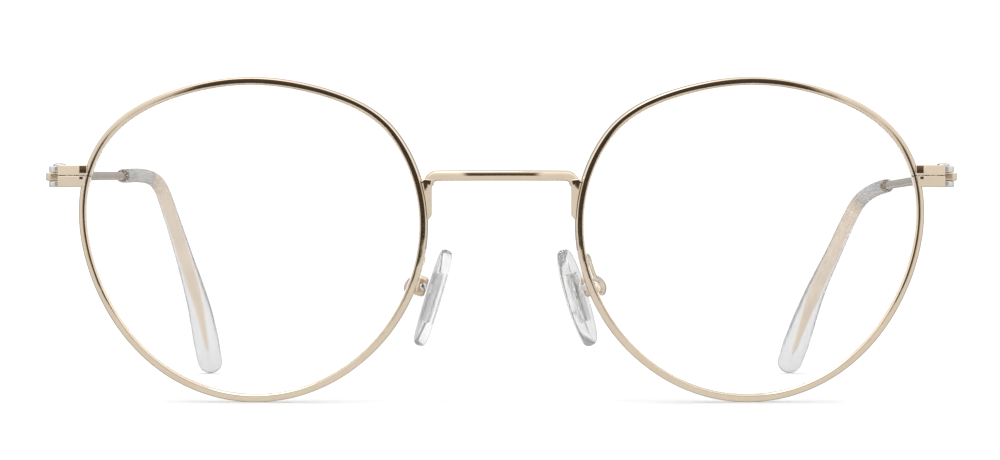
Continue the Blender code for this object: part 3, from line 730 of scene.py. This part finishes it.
def temple_tip(side, tag):
    """Sleeve with a blind bore that follows the core."""
    path = temple_path(side)
    shares, start = sleeve_share(path, tag)
    outer_path = path[start:]
    outer_share = shares[start:]
    way = frames(path, (side, 0, 0))[-1][0]
    radii = [mix(TIP_RADII, s) for s in outer_share]
    radii[0] -= 0.10
    end_r = radii[-1]
    for k in range(1, 10):
        turn = math.pi / 2 * k / 10
        outer_path.append(path[-1] + way * (TIP_DOME * math.sin(turn)))
        radii.append(end_r * math.cos(turn) ** 0.8)
    outer = tube(outer_path, (side, 0, 0), radii, TIP_FLAT, 40)
    inner_index = [i for i, s in enumerate(outer_share) if s <= CORE_TAPER[1] + BORE_END]
    flare = [0.42 * math.exp(-k / 3.2) for k in range(14)]
    bore = [core_radius(outer_share[i]) + mix(SLEEVE_FIT, outer_share[i]) for i in inner_index]
    bore[: len(flare)] = [b + f for b, f in zip(bore, flare)]
    inner = tube([outer_path[i] for i in inner_index], (side, 0, 0), bore, 1.0, 40)
    ob = make(f"{tag}_temple_tip", loft([outer[-1]] + outer[::-1] + inner), MILKY, smooth=60)
    install(ob, f"temple_arm_{tag}", f"temple_tip_{tag}")


def pad_matrix(side):
    """Pad frame: X across the pad (backwards), Y up its length, Z away from the nose."""
    splay = PAD_SPLAY[side]
    up = Vector((-side * math.sin(PAD_LEAN), 0, math.cos(PAD_LEAN)))
    across = Vector((side * math.sin(splay), math.cos(splay), 0))
    across = (across - up * across.dot(up)).normalized()
    away = across.cross(up) * side
    m = Matrix((across, up, away)).transposed().to_4x4()
    x, y, z = PAD_CENTRE[side]
    return Matrix.Translation((side * x, y, z)) @ m


def place(m, skin):
    return [tuple(m @ Vector(v)) for v in skin[0]], skin[1]


def screw_height():
    return PAD_SIZE[2] / 2 + BOX_GAP + TONGUE_HIGH


def pad_outline(cut, share, count=96):
    """Drop shape, a little wider below, cut back from the pad's edge."""
    width, length = PAD_SIZE[0] / 2 - cut, PAD_SIZE[1] / 2 - cut
    points = []
    for i in range(count):
        a = 2 * math.pi * (i + 0.5) / count
        s, c = math.sin(a), math.cos(a)
        y = length * math.copysign(abs(s) ** 0.92, s)
        x = width * math.copysign(abs(c) ** 0.85, c) * (1 - 0.05 * y / length)
        points.append((x * share, y * share))
    return points


def nose_pad(side, tag):
    m = pad_matrix(side)
    half = PAD_SIZE[2] / 2
    rows = []
    for k in range(13):
        turn = math.pi * (k / 12 - 0.5)
        rows.append((PAD_ROUND * (1 - math.cos(turn) ** 0.8), 1.0, half * PAD_FLAT * math.sin(turn)))
    crown = 1 - PAD_FLAT
    faces = [(PAD_ROUND, s, half * (PAD_FLAT + crown * (1 - s**2))) for s in (0.9, 0.75, 0.55, 0.3)]
    rows = [(cut, s, -level) for cut, s, level in reversed(faces)] + rows + faces
    rings = [[(x, y, level) for x, y in pad_outline(cut, s)] for cut, s, level in rows]
    pad = make(f"{tag}_nose_pad", place(m, domed(rings, (0, 0, -half), (0, 0, half))), PAD, smooth=50)
    w, l, t = (s / 2 + POCKET_PLAY for s in INSERT_SIZE)
    combine(pad, make("pocket", place(m, box((-w, -l, -t), (w, l, t), 0.5, 0.2))), smooth=50)
    a, b = (s / 2 + POCKET_PLAY for s in TONGUE)
    combine(pad, make("slit", place(m, box((-a, BOX_UP - b, 0.0), (a, BOX_UP + b, half * 2)))), smooth=50)
    install(pad, f"pad_{tag}", f"nose_pad_{tag}", 0.2)


def pad_insert(side, tag):
    """Hard plate inside the pad with a round-ended tongue for the pad screw."""
    m = pad_matrix(side)
    w, l, t = (s / 2 for s in INSERT_SIZE)
    plate = make(f"{tag}_pad_insert", place(m, box((-w, -l, -t), (w, l, t), 0.47, 0.18)), INSERT)
    a, b = (s / 2 for s in TONGUE)
    high = screw_height()
    outline = [(BOX_UP + b, 0)] + arc(BOX_UP, high, b, 0, 180, 20) + [(BOX_UP - b, 0)]
    rings = [[(x, y, z) for y, z in outline] for x in (-a, a)]
    combine(plate, make("tongue", place(m, loft(rings))), "UNION")
    combine(plate, make("hole", place(m, rod((0, BOX_UP, high), (1, 0, 0), -2, 2, PAD_PIN_R + RUN, 24))))
    install(plate, f"pad_{tag}", f"pad_insert_{tag}")


def pad_box(side, tag):
    m = pad_matrix(side)
    deep, wide, tall = BOX_SIZE
    low = PAD_SIZE[2] / 2 + BOX_GAP
    corners = (-wide / 2, BOX_UP - tall / 2, low), (wide / 2, BOX_UP + tall / 2, low + deep)
    verts, faces = box(*corners, 0.60, 0.50)
    middle = low + deep / 2
    bulged = []
    for x, y, z in verts:
        up = (y - BOX_UP) / tall * 2
        out = (z - middle) / deep * 2
        bulged.append((x * (1 - BOX_BULGE * up**2 - BOX_BULGE * out**2), y, z))
    shell = make(f"{tag}_pad_box", place(m, (bulged, faces)), SATIN)
    a, b = TONGUE[0] / 2 + 0.05, TONGUE[1] / 2 + 0.22
    room = box((-a, BOX_UP - b, low - 1), (a, BOX_UP + b, low + deep - BOX_WALL + 0.1))
    combine(shell, make("room", place(m, room)))
    pin = rod((0, BOX_UP, screw_height()), (1, 0, 0), -3, 3, PAD_PIN_R + RUN, 24)
    combine(shell, make("hole", place(m, pin)))
    flatten_shading(shell)
    install(shell, "front", f"pad_box_{tag}", 0.3)


def pad_screw(side, tag):
    m = pad_matrix(side)
    wide = BOX_SIZE[1] / 2
    base = m @ Vector((0, BOX_UP, screw_height()))
    front = m.to_3x3() @ Vector((-1, 0, 0))
    profile = [(-wide, PAD_PIN_R - 0.08), (-wide + 0.15, PAD_PIN_R), (wide + 0.02, PAD_PIN_R)]
    profile += [(wide + 0.02, 0.50), (wide + 0.06, 0.55)] + dome(wide + 0.14, 0.55, 0.16)
    blade = m.to_3x3() @ Vector((0, 0.8, 0.6))
    ob = slotted_screw(f"{tag}_pad_screw", base, front, profile, (wide + 0.14, 0.18, blade), 28)
    install(ob, "front", f"pad_screw_{tag}")


def pad_arm(side, tag):
    m = pad_matrix(side)
    back = m @ Vector((0, BOX_UP - 0.2, PAD_SIZE[2] / 2 + BOX_GAP + BOX_SIZE[0] + GAP))
    shift = ARM_SHIFT[side]
    path = [Vector((side * x, y, z)) for x, y, z in ARM_ROOT]
    path += [Vector((side * (x + shift), y, z)) for x, y, z in ARM_LOOP]
    path += [back + Vector((side * 0.45, -0.30, -0.10)), back]
    line = curve(path, 90)
    arm = make(f"{tag}_pad_arm", loft(tube(line, (side, 0, 0), [ARM_R] * len(line), sides=28)), GOLD)
    combine(arm, rim_cutter(side, -20, 20, GAP, 3.5), smooth=50)
    wide, tall, low = BOX_SIZE[1] / 2 + GAP, BOX_SIZE[2] / 2 + GAP, PAD_SIZE[2] / 2 + BOX_GAP
    block = box((-wide, BOX_UP - tall, low - 1), (wide, BOX_UP + tall, low + BOX_SIZE[0] + GAP))
    combine(arm, make("seat", place(m, block)), smooth=50)
    install(arm, "front", f"pad_arm_{tag}", 0.2)


# ---- camera, light and floor -----------------------------------------------------------------------
VIEW_DISTANCE = 0.5  # metres in front of the lens centres
VIEW_HEIGHT = 0.0208
VIEW_ASIDE = -0.00022
FIELD = 0.146  # width of the view at that distance, metres
HORIZON_SHIFT = 0.03
WHITE_LEVEL = 1.2
OPENING_TINT = (1, 0.78, 0.62, 1)


def camera():
    data = bpy.data.cameras.new("camera")
    data.sensor_width = 36.0
    data.lens = data.sensor_width * VIEW_DISTANCE / FIELD
    data.shift_y = HORIZON_SHIFT
    data.clip_start = 0.01
    ob = bpy.data.objects.new("camera", data)
    ob.location = (VIEW_ASIDE, HOME.y * MM - VIEW_DISTANCE, VIEW_HEIGHT)
    ob.rotation_euler = (math.pi / 2, 0, 0)
    bpy.context.scene.collection.objects.link(ob)
    bpy.context.scene.camera = ob


def studio():
    """White tent with a dark brown opening in front of the object, which only reflections see.

    All other rays see an even white, which is the background and most of the light.
    """
    world = bpy.data.worlds.new("tent")
    bpy.context.scene.world = world
    world.use_nodes = True
    tree = world.node_tree
    add, join = tree.nodes.new, tree.links.new
    where = add("ShaderNodeTexCoord")
    split = add("ShaderNodeSeparateXYZ")
    join(where.outputs["Generated"], split.inputs[0])

    def step(source, start, end, low=0.0, high=1.0):
        node = add("ShaderNodeMapRange")
        node.interpolation_type = "SMOOTHSTEP"
        for name, value in (("From Min", start), ("From Max", end), ("To Min", low), ("To Max", high)):
            node.inputs[name].default_value = value
        join(source, node.inputs["Value"])
        return node.outputs["Result"]

    def math_node(kind, a, b=None):
        node = add("ShaderNodeMath")
        node.operation = kind
        join(a, node.inputs[0])
        if b is not None:
            join(b, node.inputs[1])
        return node.outputs[0]

    up, back = split.outputs["Z"], split.outputs["Y"]
    aside = math_node("ABSOLUTE", split.outputs["X"])
    # the opening: sharp lower edge and soft upper edge, then its sides, and nothing behind the object
    dark = math_node("MULTIPLY", step(up, -0.122, -0.115), step(up, 0.50, 0.80, 1, 0))
    dark = math_node("MULTIPLY", dark, step(aside, 0.31, 0.38, 1, 0))
    dark = math_node("MULTIPLY", dark, step(back, -0.2, 0.0, 1, 0))
    # the tent is brighter above and dimmer behind; the opening is darkest below
    bright = math_node("MULTIPLY", step(up, -0.2, 0.7, 0.78, 1.15), step(back, 0.1, 0.8, 1.0, 0.45))
    gloom = step(up, -0.1, 0.5, 0.05, 0.28)
    room = add("ShaderNodeMix")
    join(dark, room.inputs[0])
    join(bright, room.inputs[2])
    join(gloom, room.inputs[3])
    # rays that pass through the lenses count as glossy too, so those are taken out
    path = add("ShaderNodeLightPath")
    seen = add("ShaderNodeMix")
    seen.inputs[2].default_value = WHITE_LEVEL
    mirrored = math_node("SUBTRACT", path.outputs["Is Glossy Ray"], path.outputs["Is Transmission Ray"])
    join(mirrored, seen.inputs[0])
    join(room.outputs[0], seen.inputs[3])
    join(seen.outputs[0], tree.nodes["Background"].inputs["Strength"])
    tint = add("ShaderNodeMix")
    tint.data_type = "RGBA"
    tint.inputs[6].default_value = (1, 1, 1, 1)
    tint.inputs[7].default_value = OPENING_TINT
    join(math_node("MULTIPLY", dark, mirrored), tint.inputs[0])
    join(tint.outputs[2], tree.nodes["Background"].inputs["Color"])
    bpy.context.scene.view_settings.view_transform = "Standard"

    lamp = bpy.data.lights.new("soft_box", "AREA")
    lamp.shape = "DISK"
    lamp.size = 0.8
    lamp.energy = 1.5
    ob = bpy.data.objects.new("soft_box", lamp)
    ob.location = (-0.25, -0.20, 1.0)
    ob.rotation_euler = (-ob.location).to_track_quat("-Z", "Y").to_euler()
    bpy.context.scene.collection.objects.link(ob)


def floor():
    n = Nodes("pale_floor")
    n.join(n.blend(n.ramp(n.noise(9.0, 3.0), 0.0, 1.0), (0.93, 0.93, 0.93), (0.91, 0.91, 0.91)),
           n.shader.inputs["Base Color"])
    n.set(Roughness=0.9, Specular_IOR_Level=0.0)
    reach = 6.0
    mesh = bpy.data.meshes.new("floor")
    corners = [(-reach, -reach, 0), (reach, -reach, 0), (reach, reach, 0), (-reach, reach, 0)]
    mesh.from_pydata(corners, [], [(0, 1, 2, 3)])
    mesh.materials.append(n.material)
    ob = bpy.data.objects.new("floor", mesh)
    bpy.context.scene.collection.objects.link(ob)
    ob.visible_glossy = False  # reflections see the tent below as well


def build():
    camera()
    studio()
    floor()
    bridge()
    for side, tag in SIDES:
        rim(side, tag)
        lens(side, tag)
        for upper in (True, False):
            lug_block(side, tag, upper)
            knuckle(side, tag, upper)
        closing_screw(side, tag)
        hinge_screw(side, tag)
        temple(side, tag)
        temple_tip(side, tag)
        nose_pad(side, tag)
        pad_insert(side, tag)
        pad_box(side, tag)
        pad_screw(side, tag)
        pad_arm(side, tag)


build()
bpy.context.view_layer.update()
